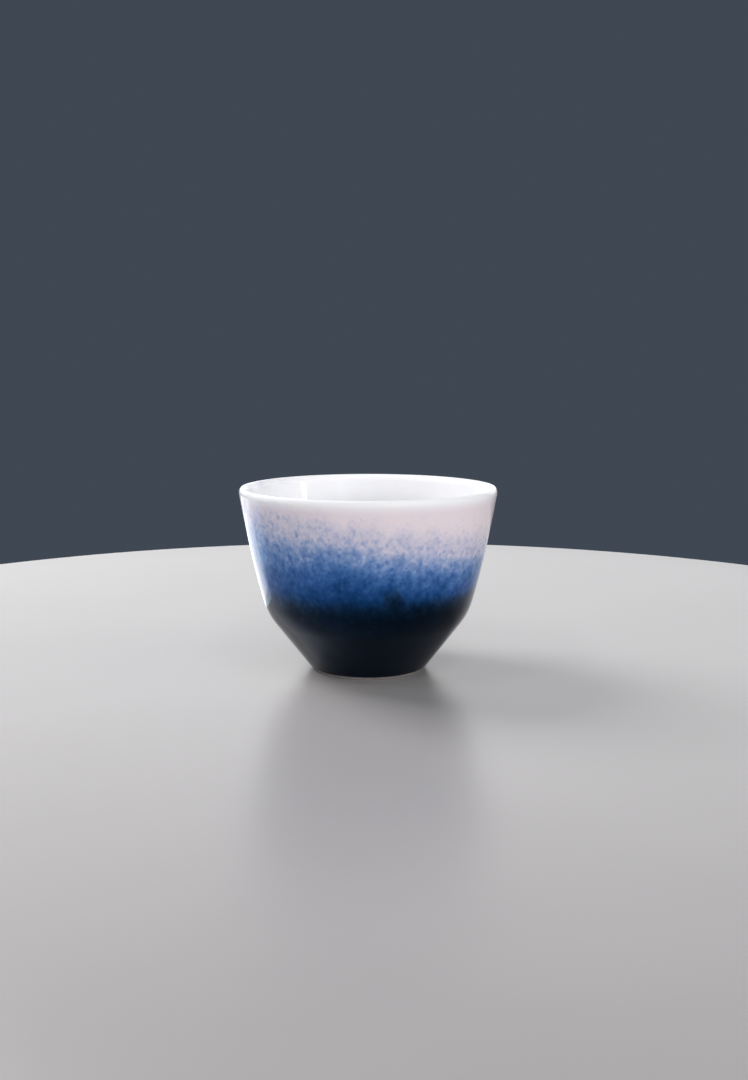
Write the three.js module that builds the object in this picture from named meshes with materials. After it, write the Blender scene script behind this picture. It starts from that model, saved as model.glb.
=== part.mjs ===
// A handleless teacup in glazed porcelain, standing on a bare foot ring.
//
// Millimetres, +Z up. The origin is on the cup's axis, in the plane that the foot ring stands on.
// Every piece is a body of revolution: its closed profile, (radius, height) points that run
// anticlockwise, is turned about the axis. The fired glaze coats are separate bodies that lie over
// the clay wall with a small clearance, so that each layer of the cup can be taken on its own.

import * as THREE from "three";

// --- Driving dimensions ---------------------------------------------------------------------

const CUP_HEIGHT = 57.4;
const RIM_RADIUS = 40; // widest point of the outside, just under the lip's top
const LIP_RISE = 2; // from the widest point to the top of the lip
const LIP_OUTER_ROUND = 0.8; // radial width of the lip's tight outer rounding
const LIP_INNER_ROUND = 1.8; // and of its soft inner rounding

const KNEE_RADIUS = 31.7; // corner where the steep wall meets the lower cone, before rounding
const KNEE_HEIGHT = 18.2;
const KNEE_ROUNDING = 4; // the rounding starts and ends this far from the corner
const WALL_SWELL = 0.5; // how far the steep wall bows outwards between knee and rim

const INNER_KNEE_RADIUS = 29; // the same corner on the inside of the wall
const INNER_KNEE_HEIGHT = 19.9;
const FLOOR_HEIGHT = 6; // inside floor
const FLOOR_CORNER_RADIUS = 18.3; // where floor and inner cone would meet without a rounding
const FLOOR_ROUNDING = 6;

const GLAZE_EDGE_RADIUS = 18.3; // lower edge of the outside glaze
const GLAZE_EDGE_HEIGHT = 0.8;
const GLAZE = 0.4; // thickness of every glaze coat
const CLEARANCE = 0.3; // between neighbouring pieces

const NAVY_TOP = 26.6; // height where the dipped navy coat ends and the cobalt coat starts
const COBALT_TOP = 41; // height where the cobalt coat fades into the speckled white one

const FOOT_OUTER_RADIUS = 17.6;
const FOOT_INNER_RADIUS = 14.6;
const FOOT_TOP = 2.4; // top of the foot ring, under the bowl's floor
const FOOT_EDGE = 0.35; // bevel along the foot ring's standing face
const BASE_GLAZE_HEIGHT = 1.9; // ceiling of the shallow hollow inside the foot ring

const SEGMENTS = 48; // facets round the axis
const STEP = 4.5; // longest facet along the section of the wall
const LIP_DETAIL = 2; // fineness of the finished lip
const HIDDEN_LIP_DETAIL = 1; // and of the clay lip under it

// --- Lines of the section -------------------------------------------------------------------

const LIP_BASE = CUP_HEIGHT - LIP_RISE;
const LIP_RIDGE_RADIUS = RIM_RADIUS - LIP_OUTER_ROUND;
const LIP_INNER_RADIUS = LIP_RIDGE_RADIUS - LIP_INNER_ROUND;
const CLAY_DEPTH = GLAZE + CLEARANCE; // how deep the clay lies under the finished surface

const ON_AXIS = 1e-6; // a point nearer to the axis than this is on it
const HALVINGS = 30; // settles a place along a path to well under a micrometre

const point = (radius, height) => new THREE.Vector2(radius, height);

// The point at the given distance from one point towards another.
function towards(from, to, distance) {
  return to.clone().sub(from).setLength(distance).add(from);
}

// The outside of the cup, upwards: lower cone, rounded knee, bowed steep wall.
function outerWall() {
  const foot = point(GLAZE_EDGE_RADIUS, GLAZE_EDGE_HEIGHT);
  const knee = point(KNEE_RADIUS, KNEE_HEIGHT);
  const rim = point(RIM_RADIUS, LIP_BASE);
  const outward = rim.clone().sub(knee).normalize().rotateAround(point(0, 0), -Math.PI / 2);
  const swell = knee.clone().add(rim).multiplyScalar(0.5).addScaledVector(outward, 2 * WALL_SWELL);
  const coneEnd = towards(knee, foot, KNEE_ROUNDING);
  const wallStart = towards(knee, swell, KNEE_ROUNDING);

  const wall = new THREE.Path();
  wall.moveTo(foot.x, foot.y);
  wall.lineTo(coneEnd.x, coneEnd.y);
  wall.quadraticCurveTo(knee.x, knee.y, wallStart.x, wallStart.y);
  wall.quadraticCurveTo(swell.x, swell.y, rim.x, rim.y);
  return wall;
}

// The inside of the cup, from the middle of the floor up to the lip.
function innerWall() {
  const corner = point(FLOOR_CORNER_RADIUS, FLOOR_HEIGHT);
  const knee = point(INNER_KNEE_RADIUS, INNER_KNEE_HEIGHT);
  const lipFoot = point(LIP_INNER_RADIUS, LIP_BASE);
  const floorEnd = towards(corner, point(0, FLOOR_HEIGHT), FLOOR_ROUNDING);
  const coneStart = towards(corner, knee, FLOOR_ROUNDING);
  const coneEnd = towards(knee, corner, KNEE_ROUNDING);
  const wallStart = towards(knee, lipFoot, KNEE_ROUNDING);

  const wall = new THREE.Path();
  wall.moveTo(0, FLOOR_HEIGHT);
  wall.lineTo(floorEnd.x, floorEnd.y);
  wall.quadraticCurveTo(corner.x, corner.y, coneStart.x, coneStart.y);
  wall.lineTo(coneEnd.x, coneEnd.y);
  wall.quadraticCurveTo(knee.x, knee.y, wallStart.x, wallStart.y);
  wall.lineTo(lipFoot.x, lipFoot.y);
  return wall;
}

// The rounded lip at a depth under its finished surface, from the outside over to the inside.
function lip(depth) {
  const rise = LIP_RISE - depth;
  const line = new THREE.Path();
  line.absellipse(LIP_RIDGE_RADIUS, LIP_BASE, LIP_OUTER_ROUND - depth, rise, 0, Math.PI / 2);
  line.absellipse(LIP_RIDGE_RADIUS, LIP_BASE, LIP_INNER_ROUND - depth, rise, Math.PI / 2, Math.PI);
  return line;
}

// How far along a face a height is first reached, as a share of its length. No face ever falls,
// so the share is found by halving.
function shareAt(face, height) {
  let low = 0;
  let high = 1;
  for (let halving = 0; halving < HALVINGS; halving += 1) {
    const middle = (low + high) / 2;
    if (face.path.getPoint(middle).y < height) low = middle;
    else high = middle;
  }
  return high;
}

// The two faces of the wall. The wall lies to the left of the outside's path as it rises, and to
// the right of the inside's, which is what the sign says.
const OUTSIDE = { path: outerWall(), wallSide: 1 };
const INSIDE = { path: innerWall(), wallSide: -1 };

// Points along a face between two shares of its length, moved into the wall by a depth.
function stretch(face, from, to, depth) {
  const steps = Math.ceil(((to - from) * face.path.getLength()) / STEP);
  return Array.from({ length: steps + 1 }, (_, i) => {
    const share = from + ((to - from) * i) / steps;
    const along = face.path.getTangent(share);
    const inwards = point(-along.y, along.x).multiplyScalar(face.wallSide);
    return face.path.getPoint(share).addScaledVector(inwards, depth);
  });
}

// --- Making a piece -------------------------------------------------------------------------

function ceramic(color, roughness) {
  return new THREE.MeshStandardMaterial({ color, roughness, metalness: 0 });
}

// Turns a profile about the axis. One that starts on the axis ends on it; any other is closed here.
function turned(name, profile, material) {
  const closed = profile[0].x < ON_AXIS ? profile : [...profile, profile[0].clone()];
  const geometry = new THREE.LatheGeometry(closed, SEGMENTS).rotateX(Math.PI / 2);
  const mesh = new THREE.Mesh(geometry, material);
  mesh.name = name;
  return mesh;
}

// A coat on the outside of the wall between two heights.
function outsideCoat(name, bottom, top, material) {
  const from = shareAt(OUTSIDE, bottom);
  const to = shareAt(OUTSIDE, top);
  const surface = stretch(OUTSIDE, from, to, 0);
  const back = stretch(OUTSIDE, from, to, GLAZE).reverse();
  return turned(name, [...surface, ...back], material);
}

// --- The pieces -----------------------------------------------------------------------------

// The fired clay wall and floor, under all the glaze, with its own rounded lip.
function bowlBody() {
  const underside = FOOT_TOP + CLEARANCE;
  const shoulder = LIP_BASE - CLEARANCE;
  const from = shareAt(OUTSIDE, underside);
  const outside = stretch(OUTSIDE, from, shareAt(OUTSIDE, shoulder), CLAY_DEPTH);
  const rounded = lip(CLAY_DEPTH).getPoints(HIDDEN_LIP_DETAIL);
  const inside = stretch(INSIDE, 0, shareAt(INSIDE, shoulder), CLAY_DEPTH).reverse();
  const base = point(outside[0].x, underside);
  const profile = [point(0, underside), base, ...outside.slice(1), ...rounded, ...inside];
  return turned("bowl_body", profile, ceramic(0xd8d2cb, 0.8));
}

// The bare ring of clay that the cup stands on, bevelled along both edges of its standing face.
function footRing() {
  const profile = [
    point(FOOT_INNER_RADIUS + FOOT_EDGE, 0),
    point(FOOT_OUTER_RADIUS - FOOT_EDGE, 0),
    point(FOOT_OUTER_RADIUS, FOOT_EDGE),
    point(FOOT_OUTER_RADIUS, FOOT_TOP),
    point(FOOT_INNER_RADIUS, FOOT_TOP),
    point(FOOT_INNER_RADIUS, FOOT_EDGE),
  ];
  return turned("foot_ring", profile, ceramic(0xb9b2ab, 0.85));
}

// The white glaze that lines the floor and the inside of the wall.
function innerGlaze() {
  const top = shareAt(INSIDE, LIP_BASE - CLEARANCE);
  const back = stretch(INSIDE, 0, top, GLAZE);
  const surface = stretch(INSIDE, 0, top, 0).reverse();
  return turned("inner_glaze", [...back, ...surface], ceramic(0xeeedf0, 0.12));
}

// The white glaze that rounds over the lip.
function rimGlaze() {
  const surface = lip(0).getPoints(LIP_DETAIL);
  const back = lip(GLAZE).getPoints(LIP_DETAIL).reverse();
  return turned("rim_glaze", [...surface, ...back], ceramic(0xfafafd, 0.08));
}

// The white band under the lip, speckled where the cobalt starts.
function upperGlaze() {
  const bottom = COBALT_TOP + CLEARANCE / 2;
  const top = LIP_BASE - CLEARANCE;
  return outsideCoat("upper_glaze", bottom, top, ceramic(0xded2d6, 0.12));
}

// The mottled cobalt band round the middle of the cup.
function cobaltGlaze() {
  const bottom = NAVY_TOP + CLEARANCE / 2;
  const top = COBALT_TOP - CLEARANCE / 2;
  return outsideCoat("cobalt_glaze", bottom, top, ceramic(0x3c6290, 0.12));
}

// The navy coat that the foot end was dipped in, from the glaze edge past the knee.
function navyGlaze() {
  const top = NAVY_TOP - CLEARANCE / 2;
  return outsideCoat("navy_glaze", GLAZE_EDGE_HEIGHT, top, ceramic(0x0a1425, 0.1));
}

// The disc of glaze in the hollow inside the foot ring.
function baseGlaze() {
  const radius = FOOT_INNER_RADIUS - CLEARANCE;
  const profile = [
    point(0, BASE_GLAZE_HEIGHT),
    point(radius, BASE_GLAZE_HEIGHT),
    point(radius, BASE_GLAZE_HEIGHT + GLAZE),
    point(0, BASE_GLAZE_HEIGHT + GLAZE),
  ];
  return turned("base_glaze", profile, ceramic(0xe6e4e2, 0.2));
}

// --- The cup --------------------------------------------------------------------------------

const clay = new THREE.Group();
clay.add(bowlBody(), footRing());

const glaze = new THREE.Group();
glaze.add(innerGlaze(), rimGlaze(), upperGlaze(), cobaltGlaze(), navyGlaze(), baseGlaze());

const teacup = new THREE.Group();
teacup.add(clay, glaze);

export default teacup;
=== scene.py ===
"""Blender scene of a glazed porcelain teacup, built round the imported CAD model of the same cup.

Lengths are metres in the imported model's frame: +Z up, the cup's axis on Z, standing on Z = 0.
The foot ring and each glaze coat of the CAD model have a finely turned piece that stands for them.
Surface patterns are procedural, and their sizes are in millimetres.
"""

import math

import bmesh
import bpy
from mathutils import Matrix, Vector, noise
from mathutils.geometry import interpolate_bezier


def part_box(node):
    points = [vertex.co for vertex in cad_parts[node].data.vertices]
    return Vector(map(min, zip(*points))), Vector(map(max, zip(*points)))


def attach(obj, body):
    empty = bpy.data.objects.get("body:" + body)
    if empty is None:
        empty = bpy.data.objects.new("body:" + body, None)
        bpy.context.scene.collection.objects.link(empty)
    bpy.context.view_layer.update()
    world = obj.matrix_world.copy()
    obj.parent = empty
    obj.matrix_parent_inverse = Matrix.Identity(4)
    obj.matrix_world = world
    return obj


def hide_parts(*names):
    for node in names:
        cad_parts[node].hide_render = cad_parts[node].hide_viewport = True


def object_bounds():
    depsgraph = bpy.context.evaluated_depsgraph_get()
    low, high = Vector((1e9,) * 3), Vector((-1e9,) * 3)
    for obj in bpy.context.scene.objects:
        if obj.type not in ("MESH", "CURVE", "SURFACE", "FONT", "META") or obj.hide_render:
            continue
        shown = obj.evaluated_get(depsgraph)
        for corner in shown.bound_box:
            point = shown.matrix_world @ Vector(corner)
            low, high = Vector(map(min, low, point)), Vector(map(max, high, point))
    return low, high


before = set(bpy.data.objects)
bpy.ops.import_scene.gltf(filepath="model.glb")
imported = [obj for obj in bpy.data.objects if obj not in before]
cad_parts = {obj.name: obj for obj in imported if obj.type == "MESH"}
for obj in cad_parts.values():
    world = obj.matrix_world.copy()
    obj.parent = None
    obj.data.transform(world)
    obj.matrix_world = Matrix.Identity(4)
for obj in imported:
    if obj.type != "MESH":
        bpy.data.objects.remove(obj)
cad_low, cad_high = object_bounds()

MM = 0.001
BODY = "root"

# --- Dimensions taken from the frame --------------------------------------------------------------

rim_low, rim_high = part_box("rim_glaze")
upper_low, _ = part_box("upper_glaze")
cobalt_low, cobalt_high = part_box("cobalt_glaze")
navy_low, navy_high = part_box("navy_glaze")
inner_low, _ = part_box("inner_glaze")
_, foot_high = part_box("foot_ring")
hollow_low, hollow_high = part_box("base_glaze")

CENTRE = (cad_low + cad_high) / 2
CUP_HEIGHT = rim_high.z
RIM_RADIUS = rim_high.x
LIP_BASE = rim_low.z
GLAZE = hollow_high.z - hollow_low.z
COBALT_TOP = (cobalt_high.z + upper_low.z) / 2
NAVY_TOP = (navy_high.z + cobalt_low.z) / 2
GLAZE_EDGE_HEIGHT = navy_low.z
FLOOR_HEIGHT = inner_low.z + GLAZE
FOOT_RADIUS = foot_high.x
FOOT_HEIGHT = foot_high.z
HOLLOW_CEILING = hollow_low.z

# --- Driving dimensions of the section, as in the CAD model ---------------------------------------

LIP_OUTER_ROUND = 0.8 * MM
LIP_INNER_ROUND = 1.8 * MM
KNEE = Vector((31.7 * MM, 18.2 * MM))
KNEE_ROUNDING = 4 * MM
WALL_SWELL = 0.5 * MM
INNER_KNEE = Vector((29 * MM, 19.9 * MM))
FLOOR_CORNER = Vector((18.3 * MM, FLOOR_HEIGHT))
FLOOR_ROUNDING = 6 * MM
GLAZE_EDGE = Vector((18.3 * MM, GLAZE_EDGE_HEIGHT))
FOOT_RING_WIDTH = 3 * MM
HOLLOW_RADIUS = FOOT_RADIUS - FOOT_RING_WIDTH

# --- Rounded edges that only the finished pieces have ---------------------------------------------

GLAZE_EDGE_ROUND = 0.6 * MM
GLAZE_EDGE_LIFT = 0.15 * MM
GLAZE_EDGE_SAG = 0.05 * MM
FOOT_EDGE_ROUND = 0.35 * MM
MENISCUS_WIDTH = 0.8 * MM
MENISCUS_FALL = 0.48 * MM

# --- Fineness of the meshes -----------------------------------------------------------------------

SEGMENTS = 360
STEP = 0.45 * MM
LIP_STEP = 0.16 * MM
FOOT_STEP = 0.2 * MM
MENISCUS_STEP = 0.1 * MM
EDGE_STEP = 0.05 * MM
HIDDEN_STEP = 3 * MM
# The hidden back of a coat has a point for every fourth one of its face.
BACK_STEP = 4
# A point with a smaller radius than this is on the axis.
ON_AXIS = STEP / 10
SHARP_ANGLE = math.radians(35)

# How long a cubic curve's handles are for a quarter circle of radius 1.
QUARTER_ARC = 0.5523


# --- Camera ---------------------------------------------------------------------------------------

# The sensor and the lens are in millimetres, as a camera takes them.
SENSOR = 36
LENS = 41.67
CAMERA_PLACE = Vector((1.8, -387.1, 98.8)) * MM
CAMERA_PITCH = math.radians(8.57)
NEAREST_SEEN = 10 * MM
FARTHEST_SEEN = 20


def make_camera():
    """In front of the cup and a little above it."""
    data = bpy.data.cameras.new("camera")
    data.sensor_width = SENSOR
    data.lens = LENS
    data.clip_start = NEAREST_SEEN
    data.clip_end = FARTHEST_SEEN
    camera = bpy.data.objects.new("camera", data)
    camera.location = CAMERA_PLACE
    camera.rotation_euler = (math.pi / 2 - CAMERA_PITCH, 0, 0)
    bpy.context.scene.collection.objects.link(camera)
    bpy.context.scene.camera = camera


# --- Section lines: lists of (radius, height) points ----------------------------------------------


def towards(start, end, distance):
    return start + (end - start).normalized() * distance


def cubic(start, first_handle, second_handle, end, step=STEP):
    """Points along a cubic curve, about a step apart."""
    chord = (first_handle - start).length + (second_handle - first_handle).length
    chord += (end - second_handle).length
    count = max(2, round(chord / step) + 1)
    points = interpolate_bezier(start, first_handle, second_handle, end, count)
    return [Vector(p[:2]) for p in points]


def bend(start, control, end, step=STEP):
    """Points along a quadratic curve that is drawn towards one control point."""
    return cubic(start, start.lerp(control, 2 / 3), end.lerp(control, 2 / 3), end, step)


def straight(start, end, step=STEP):
    return cubic(start, start.lerp(end, 1 / 3), start.lerp(end, 2 / 3), end, step)


def joined(*lines):
    """One line from several that follow on, without doubled points."""
    points = list(lines[0])
    for line in lines[1:]:
        points += line[1:]
    return points


def outer_swell():
    """Control point that bows the steep wall outwards between knee and rim."""
    rim = Vector((RIM_RADIUS, LIP_BASE))
    along = (rim - KNEE).normalized()
    return (rim + KNEE) / 2 + Vector((along.y, -along.x)) * 2 * WALL_SWELL


def outer_line():
    """The outside, upwards: glaze edge, cone, rounded knee, bowed wall."""
    swell = outer_swell()
    cone_end = towards(KNEE, GLAZE_EDGE, KNEE_ROUNDING)
    wall_start = towards(KNEE, swell, KNEE_ROUNDING)
    return joined(
        straight(GLAZE_EDGE, cone_end),
        bend(cone_end, KNEE, wall_start),
        bend(wall_start, swell, Vector((RIM_RADIUS, LIP_BASE))),
    )


def lip_line(depth=0.0):
    """The lip at a depth under its surface, from the outside over the top to the inside."""
    ridge = RIM_RADIUS - LIP_OUTER_ROUND
    outside = Vector((RIM_RADIUS - depth, LIP_BASE))
    top = Vector((ridge, CUP_HEIGHT - depth))
    inside = Vector((ridge - LIP_INNER_ROUND + depth, LIP_BASE))
    rise = (top.y - outside.y) * QUARTER_ARC
    up_outside = (outside - outer_swell()).normalized() * rise
    up_inside = (inside - INNER_KNEE).normalized() * rise
    outward = Vector((outside.x - ridge, 0)) * QUARTER_ARC
    inward = Vector((inside.x - ridge, 0)) * QUARTER_ARC
    return joined(
        cubic(outside, outside + up_outside, top + outward, top, LIP_STEP),
        cubic(top, top + inward, inside + up_inside, inside, LIP_STEP),
    )


def inner_line():
    """The inside, downwards: steep wall, rounded knee, cone, rounded corner, floor."""
    lip_foot = lip_line()[-1]
    middle = Vector((0, FLOOR_HEIGHT))
    wall_end = towards(INNER_KNEE, lip_foot, KNEE_ROUNDING)
    cone_start = towards(INNER_KNEE, FLOOR_CORNER, KNEE_ROUNDING)
    cone_end = towards(FLOOR_CORNER, INNER_KNEE, FLOOR_ROUNDING)
    floor_start = towards(FLOOR_CORNER, middle, FLOOR_ROUNDING)
    return joined(
        straight(lip_foot, wall_end),
        bend(wall_end, INNER_KNEE, cone_start),
        straight(cone_start, cone_end),
        bend(cone_end, FLOOR_CORNER, floor_start),
        straight(floor_start, middle),
    )


def between(line, low, high):
    """The part of a rising line between two heights, cut exactly there."""
    def at(height):
        place = next((i for i, p in enumerate(line) if p.y >= height), len(line) - 1)
        a, b = line[max(place - 1, 0)], line[max(place, 1)]
        share = (height - a.y) / (b.y - a.y)
        return a.lerp(b, min(max(share, 0), 1))

    gap = STEP / 4
    return [at(low)] + [p for p in line if low + gap < p.y < high - gap] + [at(high)]


def backed(line, depth):
    """A line and its back, a depth to the left of its direction, as one closed outline.

    Both ends are cut level, so that coats which follow on meet face to face. A line that ends on the
    axis has its back straight below.
    """
    back = []
    for place in range(0, len(line), BACK_STEP):
        before, after = line[max(place - 1, 0)], line[min(place + 1, len(line) - 1)]
        along = (after - before).normalized()
        back.append(line[place] + Vector((-along.y, along.x)) * depth)
    level = Vector((-depth if line[-1].y > line[0].y else depth, 0))
    back[0] = line[0] + level
    last = line[-1] + (level if line[-1].x > STEP else Vector((0, -depth)))
    if (back[-1] - last).length < STEP:
        back.pop()
    return line + [last] + back[::-1]


# --- Turning a section into a mesh ----------------------------------------------------------------

BAKE_MAP = "OFBake"
BAKE_MARGIN = 0.004
HIDDEN_SHARE = 0.12

HAND_SWAY = 0.07 * MM
HAND_SWAY_SIZE = 24 * MM
GLAZE_WAVE = 0.006 * MM
GLAZE_WAVE_SIZE = 5 * MM


def hand_made(point):
    """A point of the glazed surface, moved as throwing and a flowing glaze leave it."""
    sway = noise.noise(point / HAND_SWAY_SIZE) * HAND_SWAY
    wave = noise.noise(point / GLAZE_WAVE_SIZE) * GLAZE_WAVE
    outward = Vector((point.x, point.y, 0)).normalized()
    return point + outward * (sway + wave)


def still(point):
    """A point of a plain piece, left where it is."""
    return point


def ring(made, spot, shape):
    """The vertices that one (radius, height) point makes. On the axis they are one and the same."""
    if spot.x < ON_AXIS:
        return [made.verts.new(shape(Vector((0, 0, spot.y))))] * SEGMENTS
    turn = 2 * math.pi / SEGMENTS
    return [
        made.verts.new(shape(Vector((spot.x * math.cos(i * turn), spot.x * math.sin(i * turn), spot.y))))
        for i in range(SEGMENTS)
    ]


def bake_shares(outline, edges, visible):
    """How far along the bake map each edge starts and ends, from 0 to 1.

    Edges past the first `visible` points are never seen, and have little room.
    """
    lengths = [0.0]
    for number, (a, b) in enumerate(edges):
        share = 1 if visible is None or number < visible - 1 else HIDDEN_SHARE
        lengths.append(lengths[-1] + (outline[b] - outline[a]).length * share)
    return [length / lengths[-1] for length in lengths]


def bake_spot(segment, side, along, rows):
    """A face corner's place in the bake map, whose rows hold an equal part of the turn each."""
    per_row = SEGMENTS // rows
    row, place = divmod(segment, per_row)
    across = (place + side) / per_row
    return (
        BAKE_MARGIN + across * (1 - 2 * BAKE_MARGIN),
        (row + along) / rows + BAKE_MARGIN * (1 - 2 * along),
    )


def turned(name, outline, material, rows, shape=hand_made, visible=None):
    """A closed mesh from an outline turned about Z. An outline on the axis ends in a single point."""
    made = bmesh.new()
    bake = made.loops.layers.uv.new(BAKE_MAP)
    rings = [ring(made, spot, shape) for spot in outline]
    ends = list(range(len(outline)))
    if outline[0].x >= ON_AXIS and outline[-1].x >= ON_AXIS:
        ends.append(0)
    edges = list(zip(ends, ends[1:]))
    shares = bake_shares(outline, edges, visible)

    for number, (a, b) in enumerate(edges):
        start, end = shares[number], shares[number + 1]
        for i in range(SEGMENTS):
            after = (i + 1) % SEGMENTS
            corners = [
                (rings[a][i], 0, start),
                (rings[a][after], 1, start),
                (rings[b][after], 1, end),
                (rings[b][i], 0, end),
            ]
            kept = [corner for n, corner in enumerate(corners) if corner[0] is not corners[n - 1][0]]
            if len(kept) < 3:
                continue
            face = made.faces.new([vertex for vertex, _, _ in kept])
            for loop, (_, side, along) in zip(face.loops, kept):
                loop[bake].uv = bake_spot(i, side, along, rows)
    bmesh.ops.recalc_face_normals(made, faces=made.faces)

    mesh = bpy.data.meshes.new(name)
    made.to_mesh(mesh)
    made.free()
    mesh.shade_smooth()
    mesh.set_sharp_from_angle(angle=SHARP_ANGLE)
    mesh.materials.append(material)
    piece = bpy.data.objects.new(name, mesh)
    bpy.context.scene.collection.objects.link(piece)
    return piece


def stands_for(piece, node):
    """Puts a finished piece in place of a CAD node."""
    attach(piece, BODY)
    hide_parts(node)


# --- Building a material --------------------------------------------------------------------------

# Where two of its coordinates are in a separated place.
X, Z = 0, 2
# The colour sockets of a mix node.
MIX_COLOURS = (6, 7)
MIX_RESULT = 2
# What most of a noise lies between.
NOISE_RANGE = (0.3, 0.7)
# The smallest dot, as a share of the widest, and how softly the share of dots is cut off.
SMALLEST_DOT = 0.55
CHANCE_EDGE = 0.03


def opaque(colour):
    """An RGB colour with its alpha, or a socket as it is."""
    return (*colour, 1) if isinstance(colour, tuple) else colour


class Surface:
    """A material with one principled shader, and short calls for the nodes that feed it."""

    def __init__(self, name):
        self.material = bpy.data.materials.new(name)
        self.material.use_nodes = True
        self.tree = self.material.node_tree
        self.shader = self.tree.nodes["Principled BSDF"]
        metres = self.node("ShaderNodeTexCoord").outputs["Object"]
        self.place = self.vector("SCALE", metres, Scale=1 / MM)

    def node(self, kind, inputs=None, **settings):
        made = self.tree.nodes.new(kind)
        for key, value in settings.items():
            setattr(made, key, value)
        for key, value in (inputs or {}).items():
            self.feed(made.inputs[key], value)
        return made

    def feed(self, socket, value):
        if isinstance(value, bpy.types.NodeSocket):
            self.tree.links.new(value, socket)
        else:
            socket.default_value = value

    def set(self, **inputs):
        """Sets the shader's own inputs, with _ in a name for a space."""
        for key, value in inputs.items():
            self.feed(self.shader.inputs[key.replace("_", " ")], value)

    def math(self, operation, *values):
        return self.node("ShaderNodeMath", dict(enumerate(values)), operation=operation).outputs[0]

    def vector(self, operation, *values, **named):
        inputs = {**dict(enumerate(values)), **named}
        return self.node("ShaderNodeVectorMath", inputs, operation=operation).outputs[0]

    def part(self, axis):
        """One coordinate of the place on the cup, in millimetres."""
        return self.node("ShaderNodeSeparateXYZ", {0: self.place}).outputs[axis]

    def change(self, value, low, high, at_low=0.0, at_high=1.0, smooth=True):
        """Goes from one value to another while an input goes from low to high."""
        kind = "SMOOTHSTEP" if smooth else "LINEAR"
        inputs = {"Value": value, "From Min": low, "From Max": high, "To Min": at_low, "To Max": at_high}
        return self.node("ShaderNodeMapRange", inputs, interpolation_type=kind).outputs[0]

    def drawn(self, place, upright, shift):
        """A place to look a pattern up at, which makes its marks taller and takes another part of it."""
        inputs = {"Vector": place, "Location": (shift,) * 3, "Scale": (1, 1, 1 / upright)}
        return self.node("ShaderNodeMapping", inputs).outputs[0]

    def cloud(self, size, detail=2.0, rough=0.5, upright=1.0, shift=0.0):
        """Noise from 0 to 1 whose marks are about `size` millimetres wide."""
        place = self.drawn(self.place, upright, shift)
        inputs = {"Vector": place, "Scale": 1 / size, "Detail": detail, "Roughness": rough}
        return self.node("ShaderNodeTexNoise", inputs).outputs["Fac"]

    def patches(self, cloud, low=0.0, high=1.0, smooth=True):
        """A cloud spread over a range of values, since noise seldom comes near 0 or 1."""
        return self.change(cloud, *NOISE_RANGE, low, high, smooth)

    def around(self, value, reach):
        """A 0 to 1 value as one from -reach to +reach."""
        return self.math("MULTIPLY_ADD", value, 2 * reach, -reach)

    def warped(self, size, reach):
        """The place on the cup, moved by noise of a size, both in millimetres."""
        pull = self.node("ShaderNodeTexNoise", {"Vector": self.place, "Scale": 1 / size}).outputs["Color"]
        return self.vector("ADD", self.place, self.vector("SCALE", pull, Scale=2 * reach))

    def dots(self, spacing, radius, share, soft=0.5, upright=1.0, shift=0.0, warp=0.0):
        """Soft dots, one in each cell of `spacing` mm, of which only a share from 0 to 1 is there.

        A warp, in millimetres, bends the dots out of round.
        """
        place = self.warped(radius, warp) if warp else self.place
        place = self.drawn(place, upright, shift)
        cell = self.node("ShaderNodeTexVoronoi", {"Vector": place, "Scale": 1 / spacing})
        chance = self.node("ShaderNodeSeparateColor", {0: cell.outputs["Color"]}).outputs
        widest = radius / spacing
        reach = self.change(chance[1], 0, 1, widest * SMALLEST_DOT, widest, smooth=False)
        edge = self.math("DIVIDE", cell.outputs["Distance"], reach)
        dot = self.change(edge, 1 - soft, 1 + soft, 1, 0)
        there = self.change(self.math("SUBTRACT", share, chance[0]), -CHANCE_EDGE, CHANCE_EDGE)
        return self.math("MULTIPLY", dot, there)

    def bump(self, height, depth, after=None):
        """Bump from a height field of 0 to 1 and a depth in millimetres."""
        inputs = {"Height": height, "Distance": depth * MM, "Strength": 1.0}
        if after is not None:
            inputs["Normal"] = after
        return self.node("ShaderNodeBump", inputs).outputs[0]

    def mix(self, factor, first, second):
        """A colour between two, each an RGB colour or a socket."""
        made = self.node("ShaderNodeMix", {0: factor}, data_type="RGBA")
        for place, colour in zip(MIX_COLOURS, (first, second)):
            self.feed(made.inputs[place], opaque(colour))
        return made.outputs[MIX_RESULT]


# --- The outside glaze ----------------------------------------------------------------------------
#
# A white ground loses light to the colour over it. How much colour there is, is a depth: 0 is none
# and 5 nearly hides the ground. Each colour takes so much of red, green and blue for a depth of 1,
# and thick cobalt takes a little more. Heights are millimetres above the table, and X is positive
# on the camera's right. A range of heights goes from where a mark starts to where it is full.

# The wall's white is greyed partly by fine specks and partly by painted shade; the lip's lighter white is
# a painted glow.
WALL_WHITE_SPECKS_AND_SHADE = (0.815, 0.714, 0.754)
WALL_ROSE_SPECKS_AND_SHADE = (0.82, 0.716, 0.738)
LIP_WHITE_AND_GLOW = (0.93, 0.922, 0.932)
LIP_GLOW_FADE = (53.0, 56.8)
TONE_SIZE = 9.0
TONE_RANGE = (0.35, 0.65)

COBALT_TAKES = (1.0, 0.585, 0.2)
COBALT_THICKENS = (0.0, 0.0, 0.035)
SPECK_TAKES = (1.0, 0.74, 0.32)
NAVY_TAKES = (1.2, 2.0, 2.6)

FADE_TOP = 43.6
FADE_BOTTOM = 25.5
FADE_DEPTH = 5.15
FADE_TILT = 0.14
FADE_WANDER_SIZE = 13.0
FADE_WANDER = 1.3
THIN_SIDE = (-30.0, 0.0)
THIN_SHARE = 0.6

# Each layer of the mottle: size, detail, how upright, shift, and reach in depth.
MOTTLE = (
    (2.0, 3.0, 1.15, 0.0, 1.0),
    (4.4, 2.0, 1.1, 44.0, 1.1),
    (2.2, 2.0, 3.0, 22.0, 0.25),
    (0.9, 2.0, 1.2, 9.0, 0.3),
)

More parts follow.
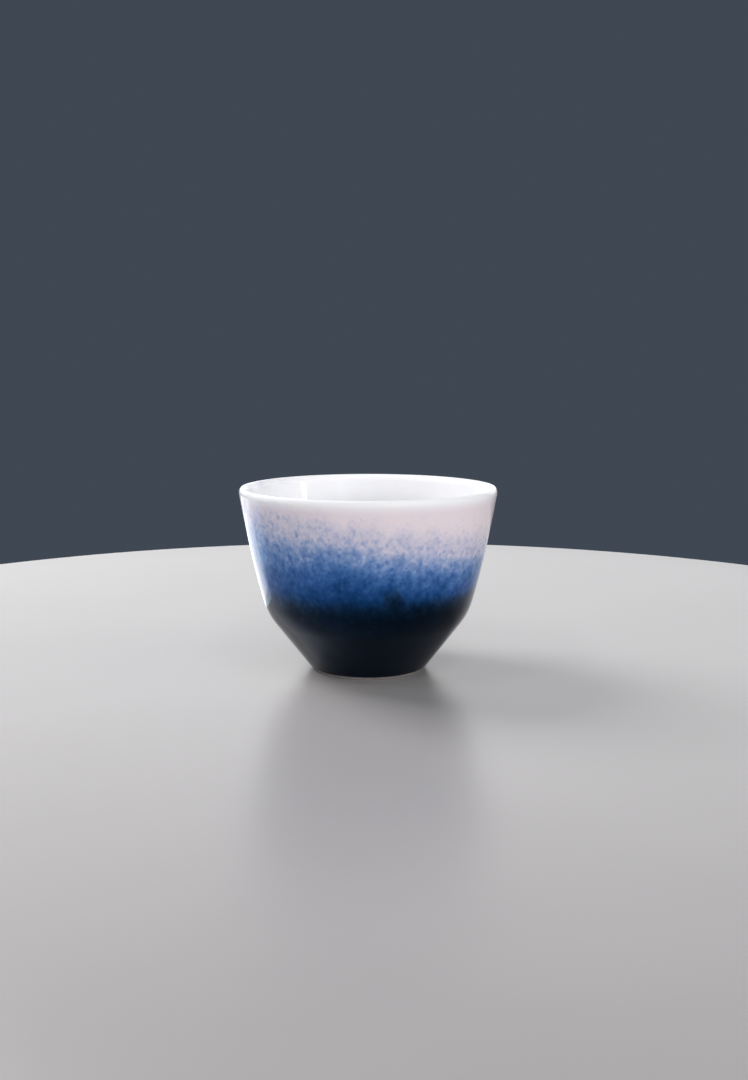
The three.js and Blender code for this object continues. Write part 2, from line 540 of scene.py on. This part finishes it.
# Each layer of drops: spacing, radius and shift.
DROPS = ((2.4, 0.75, 11.0), (1.5, 0.48, 29.0))
DROPS_RANGE = (51.0, 42.0)
DROPS_SHARE = 0.6
DROPS_FORM = {"soft": 0.8, "upright": 1.05, "warp": 0.4}
DROPS_DEPTH = 0.38

# Each layer of specks: size, depth and shift.
SPECKS = ((1.6, 0.36, 3.0), (1.0, 0.22, 19.0))
SPECKS_CLEAR = 51.5
SPECKS_END = 55.5
SPECKS_MERGE = 44.0
# The noise that a speck starts at, where specks merge and where they end.
SPECKS_CUT = (0.36, 0.64)
SPECKS_SOFT = 0.36
SPECKS_ROUGH = 0.45
SPECKS_UPRIGHT = 1.05
CROWD_WANDER_SIZE = 4.5
CROWD_WANDER = 3.0
CROWD_SHIFT = 40.0
HAZE_RANGE = (53.5, 45.0)
HAZE_DEPTH = 0.27

TIDE_LINE = 24.8
TIDE_REACH = 4.0
TIDE_SHIFT = 31.0
TIDE_WANDER_SIZE = 14.0
TIDE_WANDER = 1.3
TIDE_FRAY_SIZE = 2.2
TIDE_FRAY = 1.8
RUN_PLACE = (7.4, -32.5, 26.4)
RUN_SIZE = (2.8, 5.0, 3.8)
RUN_FRAY_SIZE = 2.0
RUN_FRAY = 0.6
RUN_EDGE = (0.1, 1.6)
RUN_DEPTH = 0.6


def cobalt_height(s):
    """Height on the cup, warped as the spray drifted: the fade sits higher on the left."""
    height = s.math("MULTIPLY_ADD", s.part(X), FADE_TILT, s.part(Z))
    wander = s.around(s.cloud(FADE_WANDER_SIZE, detail=1.0), FADE_WANDER)
    return s.math("ADD", height, wander)


def below_lip(s):
    """1 on the wall and 0 on the lip, which stays clean."""
    return s.change(s.part(Z), LIP_BASE / MM, SPECKS_CLEAR)


def cobalt_mottle(s):
    """Cloudy marks of several sizes, one of them faint upright streaks."""
    total = None
    for size, detail, upright, shift, reach in MOTTLE:
        layer = s.around(s.cloud(size, detail=detail, upright=upright, shift=shift), reach)
        total = layer if total is None else s.math("ADD", total, layer)
    return total


def cobalt_depth(s, height):
    """The cobalt, which thins upwards and towards the left, with its mottle and its drops."""
    body = s.change(height, FADE_BOTTOM, FADE_TOP, FADE_DEPTH, 0, smooth=False)
    body = s.math("MULTIPLY", body, s.change(s.part(X), *THIN_SIDE, THIN_SHARE, 1))
    covered = s.change(body, 0, 1)
    depth = s.math("MULTIPLY_ADD", cobalt_mottle(s), covered, body)
    share = s.math("MULTIPLY", s.change(height, *DROPS_RANGE, 0, DROPS_SHARE), below_lip(s))
    for spacing, radius, shift in DROPS:
        drops = s.dots(spacing, radius, share, shift=shift, **DROPS_FORM)
        depth = s.math("MULTIPLY_ADD", drops, DROPS_DEPTH, depth)
    return s.math("MAXIMUM", depth, 0)


def speck_depth(s, height):
    """Sprayed specks: few and small under the lip, crowding lower down until they run together."""
    wander = s.around(s.cloud(CROWD_WANDER_SIZE, detail=1.0, shift=CROWD_SHIFT), CROWD_WANDER)
    crowd = s.math("ADD", height, wander)
    least = s.change(crowd, SPECKS_MERGE, SPECKS_END, *SPECKS_CUT, smooth=False)
    most = s.math("ADD", least, SPECKS_SOFT)
    total = None
    for size, depth, shift in SPECKS:
        grain = s.cloud(size, rough=SPECKS_ROUGH, upright=SPECKS_UPRIGHT, shift=shift)
        layer = s.math("MULTIPLY", s.change(grain, least, most), depth)
        total = layer if total is None else s.math("ADD", total, layer)
    total = s.math("MULTIPLY", total, below_lip(s))
    return s.math("ADD", total, s.change(crowd, *HAZE_RANGE, 0, HAZE_DEPTH))


def navy_share(s):
    """The navy dip: a soft, slightly uneven tide line, with one run that stands above it in front."""
    wander = s.around(s.cloud(TIDE_WANDER_SIZE, detail=1.0, shift=TIDE_SHIFT), TIDE_WANDER)
    fray_cloud = s.cloud(TIDE_FRAY_SIZE, detail=3.0, rough=0.6, upright=1.4, shift=TIDE_SHIFT)
    fray = s.around(fray_cloud, TIDE_FRAY)
    height = s.math("ADD", s.math("ADD", s.part(Z), wander), fray)
    dip = s.change(height, TIDE_LINE + TIDE_REACH, TIDE_LINE - TIDE_REACH)

    shrink = tuple(1 / size for size in RUN_SIZE)
    offset = s.vector("MULTIPLY", s.vector("SUBTRACT", s.place, RUN_PLACE), shrink)
    far = s.node("ShaderNodeVectorMath", {0: offset}, operation="LENGTH").outputs["Value"]
    frayed = s.math("ADD", far, s.around(s.cloud(RUN_FRAY_SIZE), RUN_FRAY))
    run = s.change(frayed, *RUN_EDGE, RUN_DEPTH, 0)
    return s.math("MAXIMUM", dip, run)


def ground_white(s):
    """The white under the colour, a little rose or violet by turns. The wall's white is greyed partly by
    fine specks and partly by painted shade, and it turns lighter towards the lip as a painted glow.
    """
    tone = s.change(s.cloud(TONE_SIZE), *TONE_RANGE)
    wall = s.mix(tone, WALL_WHITE_SPECKS_AND_SHADE, WALL_ROSE_SPECKS_AND_SHADE)
    return s.mix(s.change(s.part(Z), *LIP_GLOW_FADE), wall, LIP_WHITE_AND_GLOW)


def dipped_colour(s):
    """The ground's colour, less what cobalt, specks and navy take from it."""
    height = cobalt_height(s)
    cobalt = cobalt_depth(s, height)
    specks = speck_depth(s, height)
    navy = navy_share(s)
    ground = s.node("ShaderNodeSeparateColor", {0: ground_white(s)}).outputs
    takes = zip(COBALT_TAKES, COBALT_THICKENS, SPECK_TAKES, NAVY_TAKES)
    channels = {}
    for channel, (cobalt_take, thickens, speck_take, navy_take) in enumerate(takes):
        lost = s.math("MULTIPLY", cobalt, s.math("MULTIPLY_ADD", cobalt, thickens, cobalt_take))
        lost = s.math("MULTIPLY_ADD", specks, speck_take, lost)
        lost = s.math("MULTIPLY_ADD", navy, navy_take, lost)
        kept = s.math("EXPONENT", s.math("MULTIPLY", lost, -1))
        channels[channel] = s.math("MULTIPLY", ground[channel], kept)
    return s.node("ShaderNodeCombineColor", channels).outputs[0]


# --- Materials ------------------------------------------------------------------------------------

GLAZE_IOR = 1.5
GLAZE_ROUGHNESS = (0.06, 0.12)
GLAZE_SHEEN_SIZE = 3.0
# The orange peel: size and depth of its coarse and its fine waves.
COARSE_PEEL = (2.2, 0.012)
FINE_PEEL = (0.5, 0.002)
OUTSIDE_LEVEL = 0.35
OUTSIDE_TINT = (0.08, 0.28, 0.7)
WHITE_LEVEL = 0.5
WHITE_TINT = (1.0, 1.0, 1.0)

LINING_COLOUR = (0.895, 0.882, 0.888)
BASE_COLOUR = (0.8, 0.79, 0.78)
COOLER = (0.965, 0.975, 0.99)
COOL_SIZE = 7.0
IRON_SPECKS = {"spacing": 4.0, "radius": 0.16, "share": 0.35, "soft": 0.6, "shift": 5.0}
IRON_STRENGTH = 0.35
IRON_COLOUR = (0.35, 0.33, 0.34)

# The foot ring's clay is much darker than the bowl's: painted shade under the cup.
FOOT_CLAY_PAINTED_SHADE = (0.21, 0.19, 0.185)
BOWL_CLAY_COLOUR = (0.69, 0.65, 0.6)
CLAY_SHADE = 0.78
CLAY_ROUGHNESS = (0.7, 0.9)
CLAY_TONE_SIZE = 2.4
CLAY_ROUGH_SIZE = 1.2
GRAINS = {"spacing": 0.8, "radius": 0.12, "share": 0.3}
GRAIN_STRENGTH = 0.7
GRAIN_COLOUR = (0.12, 0.1, 0.09)
SAND_SIZE = 0.22
SAND_DEPTH = 0.03


def glossy(s, colour, level, tint):
    """The finish of a fired glaze: glossy, with a faint orange peel."""
    coarse_size, coarse_depth = COARSE_PEEL
    fine_size, fine_depth = FINE_PEEL
    coarse = s.bump(s.cloud(coarse_size), coarse_depth)
    s.set(
        Base_Color=colour,
        IOR=GLAZE_IOR,
        Specular_IOR_Level=level,
        Specular_Tint=opaque(tint),
        Roughness=s.patches(s.cloud(GLAZE_SHEEN_SIZE, detail=3.0), *GLAZE_ROUGHNESS, smooth=False),
        Normal=s.bump(s.cloud(fine_size), fine_depth, coarse),
    )
    return s.material


def outside_glaze(name):
    """Each outside coat has the same glaze, so that its pattern runs on from coat to coat."""
    s = Surface(name)
    return glossy(s, dipped_colour(s), OUTSIDE_LEVEL, OUTSIDE_TINT)


def white_glaze(name, colour):
    """A plain white glaze with cooler clouds and a few faint iron specks."""
    s = Surface(name)
    cooler = tuple(c * k for c, k in zip(colour, COOLER))
    shade = s.mix(s.patches(s.cloud(COOL_SIZE, detail=3.0)), colour, cooler)
    specks = s.math("MULTIPLY", s.dots(**IRON_SPECKS), IRON_STRENGTH)
    return glossy(s, s.mix(specks, shade, IRON_COLOUR), WHITE_LEVEL, WHITE_TINT)


def bare_clay(name, colour):
    """Dry fired clay, sandy, with dark grains."""
    s = Surface(name)
    darker = tuple(c * CLAY_SHADE for c in colour)
    shade = s.mix(s.patches(s.cloud(CLAY_TONE_SIZE, detail=4.0, rough=0.6)), colour, darker)
    grains = s.math("MULTIPLY", s.dots(**GRAINS), GRAIN_STRENGTH)
    s.set(
        Base_Color=s.mix(grains, shade, GRAIN_COLOUR),
        Roughness=s.patches(s.cloud(CLAY_ROUGH_SIZE, detail=3.0), *CLAY_ROUGHNESS),
        Normal=s.bump(s.cloud(SAND_SIZE, detail=4.0, rough=0.7), SAND_DEPTH),
    )
    return s.material


# --- Pieces ---------------------------------------------------------------------------------------


def outside_coat(name, low, high):
    """A coat of the outside glaze between two heights."""
    line = between(outer_line(), low, high)
    outline = backed(line, GLAZE)
    return turned(name, outline, outside_glaze(name), rows=4, visible=len(line))


def make_upper():
    stands_for(outside_coat("upper_coat", COBALT_TOP, LIP_BASE), "upper_glaze")


def make_cobalt():
    stands_for(outside_coat("cobalt_coat", NAVY_TOP, COBALT_TOP), "cobalt_glaze")


def make_navy():
    """The navy coat, with the rounded edge where the glaze ends on the foot."""
    start = towards(GLAZE_EDGE, KNEE, GLAZE_EDGE_ROUND)
    under = Vector((FOOT_RADIUS, GLAZE_EDGE_HEIGHT + GLAZE_EDGE_LIFT))
    corner = GLAZE_EDGE - Vector((0, GLAZE_EDGE_SAG))
    wall = between(outer_line(), start.y, NAVY_TOP)
    line = joined(bend(under, corner, start, LIP_STEP), wall)
    level = Vector((GLAZE, 0))
    back = [p - level for p in wall[::BACK_STEP]]
    back = [p for p in back if p.x > FOOT_RADIUS and p.y < NAVY_TOP - STEP]
    on_foot = Vector((FOOT_RADIUS, FOOT_HEIGHT / 2))
    outline = line + [line[-1] - level] + back[::-1] + [on_foot]
    piece = turned("navy_coat", outline, outside_glaze("navy_coat"), rows=2, visible=len(line))
    stands_for(piece, "navy_glaze")


def make_rim():
    line = lip_line()
    outline = line + lip_line(GLAZE)[::-1]
    piece = turned("rim_coat", outline, outside_glaze("rim_coat"), rows=6, visible=len(line))
    stands_for(piece, "rim_glaze")


def make_lining():
    line = inner_line()
    glaze = white_glaze("lining_coat", LINING_COLOUR)
    piece = turned("lining_coat", backed(line, GLAZE), glaze, rows=2, visible=len(line))
    stands_for(piece, "inner_glaze")


def make_foot():
    """The bare ring, its standing edges worn round. Its clay is painted dark as the shade under the cup.
    """
    inner, outer, top, edge = HOLLOW_RADIUS, FOOT_RADIUS, FOOT_HEIGHT, FOOT_EDGE_ROUND
    outline = joined(
        straight(Vector((inner, top)), Vector((inner, edge))),
        bend(Vector((inner, edge)), Vector((inner, 0)), Vector((inner + edge, 0)), EDGE_STEP),
        straight(Vector((inner + edge, 0)), Vector((outer - edge, 0)), FOOT_STEP),
        bend(Vector((outer - edge, 0)), Vector((outer, 0)), Vector((outer, edge)), EDGE_STEP),
        straight(Vector((outer, edge)), Vector((outer, top))),
    )
    piece = turned("foot", outline, bare_clay("foot_clay_painted_shade", FOOT_CLAY_PAINTED_SHADE), rows=6, shape=still)
    stands_for(piece, "foot_ring")


def make_hollow():
    """The glaze in the hollow under the foot, drawn down where it meets the ring."""
    low, high = HOLLOW_CEILING, HOLLOW_CEILING + GLAZE
    flat_end = Vector((HOLLOW_RADIUS - MENISCUS_WIDTH, low))
    wall_end = Vector((HOLLOW_RADIUS, low - MENISCUS_FALL))
    outline = joined(
        straight(Vector((0, low)), flat_end),
        bend(flat_end, Vector((HOLLOW_RADIUS, low)), wall_end, MENISCUS_STEP),
        straight(wall_end, Vector((HOLLOW_RADIUS, high))),
        straight(Vector((HOLLOW_RADIUS, high)), Vector((0, high)), HIDDEN_STEP),
    )
    piece = turned("base_coat", outline, white_glaze("base_coat", BASE_COLOUR), rows=2, shape=still)
    stands_for(piece, "base_glaze")


def finish_clay():
    """The clay bowl stays the CAD model's own object, with a clay material."""
    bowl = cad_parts["bowl_body"]
    bowl.data.materials.clear()
    bowl.data.materials.append(bare_clay("fired_clay", BOWL_CLAY_COLOUR))


# --- Stage ----------------------------------------------------------------------------------------

FLOOR_REACH = 0.26
FLOOR_THICKNESS = 0.02
FLOOR_EDGE_ROUND = 1.5 * MM
FLOOR_STEP = 0.05
FLOOR_EDGE_STEP = 0.4 * MM
FLOOR_COLOUR = (0.42, 0.4, 0.398)
FLOOR_SHADE = (0.41, 0.391, 0.389)
FLOOR_TONE_SIZE = 60
FLOOR_ROUGHNESS = 0.3
FLOOR_LEVEL = 0.45
BACKDROP = (0.05, 0.064, 0.086)


def floor_material():
    s = Surface("pale_floor")
    tone = s.patches(s.cloud(FLOOR_TONE_SIZE, detail=3.0))
    s.set(
        Base_Color=s.mix(tone, FLOOR_COLOUR, FLOOR_SHADE),
        Roughness=FLOOR_ROUGHNESS,
        Specular_IOR_Level=FLOOR_LEVEL,
    )
    return s.material


def make_floor():
    """A plain round table top, with a rounded upper edge."""
    low, side = -FLOOR_THICKNESS, FLOOR_REACH
    below_edge = Vector((side, -FLOOR_EDGE_ROUND))
    inside_edge = Vector((side - FLOOR_EDGE_ROUND, 0))
    outline = joined(
        straight(Vector((0, low)), Vector((side, low)), FLOOR_STEP),
        straight(Vector((side, low)), below_edge, FLOOR_STEP),
        bend(below_edge, Vector((side, 0)), inside_edge, FLOOR_EDGE_STEP),
        straight(inside_edge, Vector((0, 0)), FLOOR_STEP),
    )
    turned("floor", outline, floor_material(), rows=2, shape=still)


def make_backdrop():
    """A plain backdrop, as a world of one colour."""
    world = bpy.data.worlds.new("studio")
    world.use_nodes = True
    background = world.node_tree.nodes["Background"]
    background.inputs["Color"].default_value = opaque(BACKDROP)
    background.inputs["Strength"].default_value = 1.0
    bpy.context.scene.world = world
    bpy.context.scene.view_settings.view_transform = "Standard"


# --- Lights ---------------------------------------------------------------------------------------
#
# Directions are degrees. Azimuth 0 is behind the camera, 90 is on its right, and elevation is upwards.

WHITE = (1.0, 1.0, 1.0)
PALE_BLUE = (0.8, 0.9, 1.0)
SKY_BLUE = (0.6, 0.8, 1.0)
DEEP_BLUE = (0.5, 0.75, 1.0)

LIGHT_DISTANCE = 1.1
FILL_ELEVATION = 11
# Cards start this share of the rim's radius to the left of the cup's axis.
CARD_START = 0.93
CARD_LIFT = 0.5 * MM


def aimed(azimuth, elevation):
    """The direction from the cup to a light."""
    a, e = math.radians(azimuth), math.radians(elevation)
    return Vector((math.sin(a) * math.cos(e), -math.cos(a) * math.cos(e), math.sin(e)))


def area_light(name, size, watts, colour):
    """A rectangular light that the camera doesn't see."""
    data = bpy.data.lights.new(name, "AREA")
    data.shape = "RECTANGLE"
    data.size, data.size_y = size
    data.energy = watts
    data.color = colour
    light = bpy.data.objects.new(name, data)
    light.visible_camera = False
    bpy.context.scene.collection.objects.link(light)
    return light


def soft_box(name, azimuth, elevation, size, watts, colour=WHITE, distance=LIGHT_DISTANCE):
    """A light aimed at the middle of the cup."""
    light = area_light(name, size, watts, colour)
    outward = aimed(azimuth, elevation)
    light.location = CENTRE + outward * distance
    light.rotation_euler = outward.to_track_quat("Z", "Y").to_euler()
    return light


def fill(name, azimuth, elevation, size, watts):
    """A soft box that leaves no reflection in the glaze."""
    soft_box(name, azimuth, elevation, size, watts).visible_glossy = False


def gloss_card(name, azimuth, near, far, width, glow, colour=WHITE):
    """A bright card lying on the table, seen only as a shine along the left edge of the glaze.

    Its left edge starts near the cup's left side and runs along the azimuth, from near to far. Its
    glow is how bright its face is, whatever its size.
    """
    length = far - near
    light = area_light(name, (width, length), glow * math.pi * width * length, colour)
    outward = aimed(azimuth, 0)
    sideways = Vector((outward.y, -outward.x, 0))
    start = Vector((-RIM_RADIUS * CARD_START, 0, CARD_LIFT))
    light.location = start + outward * (near + far) / 2 + sideways * width / 2
    light.rotation_euler = (math.pi, 0, math.atan2(outward.x, -outward.y))
    light.visible_diffuse = False


def make_window():
    """The main light, from the left and behind."""
    soft_box("window", azimuth=236, elevation=42, size=(0.45, 0.6), watts=8.0, distance=0.9)


def make_fills():
    """Low soft boxes round the front, and a higher one for the inside of the cup."""
    fill("front_fill", azimuth=24, elevation=FILL_ELEVATION, size=(1.5, 0.2), watts=5.8)
    fill("left_fill", azimuth=300, elevation=FILL_ELEVATION, size=(0.6, 0.2), watts=2.5)
    fill("right_fill", azimuth=76, elevation=FILL_ELEVATION, size=(0.6, 0.2), watts=3.4)
    fill("high_fill", azimuth=0, elevation=36, size=(0.5, 0.5), watts=2.1)


def make_table_sheen():
    """A wide card behind the cup, seen only in the gloss of the table and the glaze."""
    sheen = soft_box(
        "table_sheen", azimuth=180, elevation=15, size=(3.0, 0.75), watts=10.0, distance=1.6
    )
    sheen.visible_diffuse = False


def make_glints():
    """Small panes seen in the far inner wall, and lamps seen in the lip."""
    soft_box("right_pane", azimuth=71, elevation=16, size=(0.1, 0.12), watts=0.2)
    soft_box("middle_pane", azimuth=30, elevation=22, size=(0.08, 0.08), watts=0.06, colour=SKY_BLUE)
    soft_box("left_lamp", azimuth=306, elevation=55, size=(0.15, 0.15), watts=0.9)
    soft_box("right_lamp", azimuth=24, elevation=59, size=(0.15, 0.15), watts=0.9)


def make_left_shine():
    """The shine down the cup's left edge, which turns blue and fades inwards."""
    gloss_card("left_shine", 227, near=0.06, far=0.36, width=0.15, glow=1.8)
    gloss_card("left_shine_edge", 228, near=0.06, far=0.36, width=0.06, glow=2.0)
    gloss_card("left_glow_near", 232, near=0.06, far=0.34, width=0.08, glow=1.5, colour=PALE_BLUE)
    gloss_card("left_glow", 239, near=0.045, far=0.32, width=0.08, glow=1.0, colour=SKY_BLUE)
    gloss_card("left_glow_far", 250, near=0.08, far=0.3, width=0.1, glow=1.2, colour=DEEP_BLUE)


make_camera()
make_upper()
make_cobalt()
make_navy()
make_rim()
make_lining()
make_foot()
make_hollow()
finish_clay()
make_floor()
make_backdrop()
make_window()
make_fills()
make_table_sheen()
make_glints()
make_left_shine()
